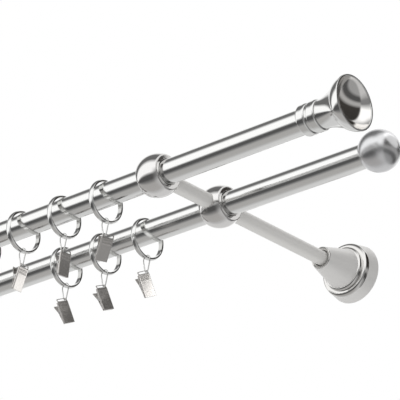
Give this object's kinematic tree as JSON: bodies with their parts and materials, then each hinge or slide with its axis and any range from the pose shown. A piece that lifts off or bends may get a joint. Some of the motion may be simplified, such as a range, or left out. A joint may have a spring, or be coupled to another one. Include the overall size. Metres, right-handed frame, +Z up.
{
  "type": "double curtain pole",
  "caption": "Double curtain pole: two level tubes on wall brackets, one in front of the other, with trumpet and ball finials and sliding rings that carry spring clips.",
  "frame": {"origin": "on the wall plane, midway between the two brackets, at the height of the arms", "axes": "+X along the poles, +Y into the wall, room on the -Y side, +Z up"},
  "size_m": [1.2946, 0.2728, 0.0838],
  "materials": {
    "pole_chrome": "polished chrome plate on steel tube",
    "finial_chrome": "polished chrome plate, turned",
    "ball_satin": "satin nickel plate",
    "holder_nickel": "fine satin nickel plate",
    "arm_brushed": "brushed nickel plate",
    "cover_nickel": "brushed nickel cone and skirt, polished rounds",
    "plate_steel": "zinc plate",
    "screw_steel": "zinc plate",
    "ring_chrome": "polished chrome plate",
    "hook_chrome": "polished chrome plate wire",
    "clip_nickel": "nickel plated spring steel",
    "pin_steel": "plated spring wire and pin"
  },
  "bodies": {
    "pole_set": {"front_pole": "pole_chrome", "rear_pole": "pole_chrome", "trumpet_finial_right": "finial_chrome", "trumpet_finial_left": "finial_chrome", "ball_finial_right": "ball_satin", "ball_finial_left": "ball_satin", "wall_plate_left": "plate_steel", "rosette_cover_left": "cover_nickel", "rear_arm_left": "arm_brushed", "front_arm_left": "arm_brushed", "rear_holder_left": "holder_nickel", "front_holder_left": "holder_nickel", "wall_plate_right": "plate_steel", "rosette_cover_right": "cover_nickel", "rear_arm_right": "arm_brushed", "front_arm_right": "arm_brushed", "rear_holder_right": "holder_nickel", "front_holder_right": "holder_nickel", "holder_grub_screws": "screw_steel", "cover_grub_screws": "screw_steel"},
    "ring_front_1": {"ring_front_1": "ring_chrome"},
    "hook_front_1": {"hook_front_1": "hook_chrome"},
    "clip_front_1": {"clip_front_front_1": "clip_nickel", "clip_spring_front_1": "pin_steel"},
    "lever_front_1": {"clip_lever_front_1": "clip_nickel"},
    "ring_front_2": {"ring_front_2": "ring_chrome"},
    "hook_front_2": {"hook_front_2": "hook_chrome"},
    "clip_front_2": {"clip_front_front_2": "clip_nickel", "clip_spring_front_2": "pin_steel"},
    "lever_front_2": {"clip_lever_front_2": "clip_nickel"},
    "ring_front_3": {"ring_front_3": "ring_chrome"},
    "hook_front_3": {"hook_front_3": "hook_chrome"},
    "clip_front_3": {"clip_front_front_3": "clip_nickel", "clip_spring_front_3": "pin_steel"},
    "lever_front_3": {"clip_lever_front_3": "clip_nickel"},
    "ring_front_4": {"ring_front_4": "ring_chrome"},
    "hook_front_4": {"hook_front_4": "hook_chrome"},
    "clip_front_4": {"clip_front_front_4": "clip_nickel", "clip_spring_front_4": "pin_steel"},
    "lever_front_4": {"clip_lever_front_4": "clip_nickel"},
    "ring_rear_1": {"ring_rear_1": "ring_chrome"},
    "hook_rear_1": {"hook_rear_1": "hook_chrome"},
    "clip_rear_1": {"clip_front_rear_1": "clip_nickel", "clip_spring_rear_1": "pin_steel"},
    "lever_rear_1": {"clip_lever_rear_1": "clip_nickel"},
    "ring_rear_2": {"ring_rear_2": "ring_chrome"},
    "hook_rear_2": {"hook_rear_2": "hook_chrome"},
    "clip_rear_2": {"clip_front_rear_2": "clip_nickel", "clip_spring_rear_2": "pin_steel"},
    "lever_rear_2": {"clip_lever_rear_2": "clip_nickel"},
    "ring_rear_3": {"ring_rear_3": "ring_chrome"},
    "hook_rear_3": {"hook_rear_3": "hook_chrome"},
    "clip_rear_3": {"clip_front_rear_3": "clip_nickel", "clip_spring_rear_3": "pin_steel"},
    "lever_rear_3": {"clip_lever_rear_3": "clip_nickel"}
  },
  "joints": [
    {"name": "ring_slide_front_1", "type": "slide", "parent": "pole_set", "child": "ring_front_1", "axis": [1, 0, 0], "range_m": [-0.69, 0.014]},
    {"name": "hook_swing_front_1", "type": "hinge", "parent": "ring_front_1", "child": "hook_front_1", "pos_m": [0.2585, -0.2508, -0.0221], "axis": [1, 0, 0], "range_deg": [-45, 45]},
    {"name": "clip_swing_front_1", "type": "hinge", "parent": "hook_front_1", "child": "clip_front_1", "pos_m": [0.2585, -0.2508, -0.03525], "axis": [1, 0, 0], "range_deg": [-30, 30]},
    {"name": "jaw_pivot_front_1", "type": "hinge", "parent": "clip_front_1", "child": "lever_front_1", "pos_m": [0.25427, -0.24698, -0.04428], "axis": [0.0135, 0.9986, 0.0506], "range_deg": [0, 22], "stiffness_Nm_per_rad": 0.01, "springref_deg": -17.19},
    {"name": "ring_slide_front_2", "type": "slide", "parent": "pole_set", "child": "ring_front_2", "axis": [1, 0, 0], "range_m": [-0.014, 0.014]},
    {"name": "hook_swing_front_2", "type": "hinge", "parent": "ring_front_2", "child": "hook_front_2", "pos_m": [0.3051, -0.2508, -0.0221], "axis": [1, 0, 0], "range_deg": [-45, 45]},
    {"name": "clip_swing_front_2", "type": "hinge", "parent": "hook_front_2", "child": "clip_front_2", "pos_m": [0.3051, -0.2508, -0.03525], "axis": [1, 0, 0], "range_deg": [-30, 30]},
    {"name": "jaw_pivot_front_2", "type": "hinge", "parent": "clip_front_2", "child": "lever_front_2", "pos_m": [0.29962, -0.24779, -0.04391], "axis": [-0.0809, 0.9966, 0.0163], "range_deg": [0, 22], "stiffness_Nm_per_rad": 0.01, "springref_deg": -17.19},
    {"name": "ring_slide_front_3", "type": "slide", "parent": "pole_set", "child": "ring_front_3", "axis": [1, 0, 0], "range_m": [-0.014, 0.014]},
    {"name": "hook_swing_front_3", "type": "hinge", "parent": "ring_front_3", "child": "hook_front_3", "pos_m": [0.3519, -0.2508, -0.0221], "axis": [1, 0, 0], "range_deg": [-45, 45]},
    {"name": "clip_swing_front_3", "type": "hinge", "parent": "hook_front_3", "child": "clip_front_3", "pos_m": [0.3519, -0.2508, -0.03525], "axis": [1, 0, 0], "range_deg": [-30, 30]},
    {"name": "jaw_pivot_front_3", "type": "hinge", "parent": "clip_front_3", "child": "lever_front_3", "pos_m": [0.34937, -0.24716, -0.04497], "axis": [0.1219, 0.9925, 0], "range_deg": [0, 22], "stiffness_Nm_per_rad": 0.01, "springref_deg": -17.19},
    {"name": "ring_slide_front_4", "type": "slide", "parent": "pole_set", "child": "ring_front_4", "axis": [1, 0, 0], "range_m": [-0.014, 0.04]},
    {"name": "hook_swing_front_4", "type": "hinge", "parent": "ring_front_4", "child": "hook_front_4", "pos_m": [0.3982, -0.2508, -0.0221], "axis": [1, 0, 0], "range_deg": [-45, 45]},
    {"name": "clip_swing_front_4", "type": "hinge", "parent": "hook_front_4", "child": "clip_front_4", "pos_m": [0.3982, -0.2508, -0.03525], "axis": [1, 0, 0], "range_deg": [-30, 30]},
    {"name": "jaw_pivot_front_4", "type": "hinge", "parent": "clip_front_4", "child": "lever_front_4", "pos_m": [0.39223, -0.24502, -0.04196], "axis": [0.3293, 0.9438, 0.0275], "range_deg": [0, 22], "stiffness_Nm_per_rad": 0.01, "springref_deg": -17.19},
    {"name": "ring_slide_rear_1", "type": "slide", "parent": "pole_set", "child": "ring_rear_1", "axis": [1, 0, 0], "range_m": [-0.71, 0.014]},
    {"name": "hook_swing_rear_1", "type": "hinge", "parent": "ring_rear_1", "child": "hook_rear_1", "pos_m": [0.2815, -0.1765, -0.0221], "axis": [1, 0, 0], "range_deg": [-45, 45]},
    {"name": "clip_swing_rear_1", "type": "hinge", "parent": "hook_rear_1", "child": "clip_rear_1", "pos_m": [0.2815, -0.1765, -0.03525], "axis": [1, 0, 0], "range_deg": [-30, 30]},
    {"name": "jaw_pivot_rear_1", "type": "hinge", "parent": "clip_rear_1", "child": "lever_rear_1", "pos_m": [0.28056, -0.17549, -0.04584], "axis": [0.2523, 0.8924, 0.3741], "range_deg": [0, 22], "stiffness_Nm_per_rad": 0.01, "springref_deg": -17.19},
    {"name": "ring_slide_rear_2", "type": "slide", "parent": "pole_set", "child": "ring_rear_2", "axis": [1, 0, 0], "range_m": [-0.014, 0.014]},
    {"name": "hook_swing_rear_2", "type": "hinge", "parent": "ring_rear_2", "child": "hook_rear_2", "pos_m": [0.3271, -0.1765, -0.0221], "axis": [1, 0, 0], "range_deg": [-45, 45]},
    {"name": "clip_swing_rear_2", "type": "hinge", "parent": "hook_rear_2", "child": "clip_rear_2", "pos_m": [0.3271, -0.1765, -0.03525], "axis": [1, 0, 0], "range_deg": [-30, 30]},
    {"name": "jaw_pivot_rear_2", "type": "hinge", "parent": "clip_rear_2", "child": "lever_rear_2", "pos_m": [0.32643, -0.1758, -0.04589], "axis": [0.2115, 0.9099, 0.357], "range_deg": [0, 22], "stiffness_Nm_per_rad": 0.01, "springref_deg": -17.19},
    {"name": "ring_slide_rear_3", "type": "slide", "parent": "pole_set", "child": "ring_rear_3", "axis": [1, 0, 0], "range_m": [-0.014, 0.06]},
    {"name": "hook_swing_rear_3", "type": "hinge", "parent": "ring_rear_3", "child": "hook_rear_3", "pos_m": [0.3748, -0.1765, -0.0221], "axis": [1, 0, 0], "range_deg": [-45, 45]},
    {"name": "clip_swing_rear_3", "type": "hinge", "parent": "hook_rear_3", "child": "clip_rear_3", "pos_m": [0.3748, -0.1765, -0.03525], "axis": [1, 0, 0], "range_deg": [-30, 30]},
    {"name": "jaw_pivot_rear_3", "type": "hinge", "parent": "clip_rear_3", "child": "lever_rear_3", "pos_m": [0.37283, -0.17476, -0.0456], "axis": [0.3701, 0.8433, 0.3898], "range_deg": [0, 22], "stiffness_Nm_per_rad": 0.01, "springref_deg": -17.19}
  ]
}
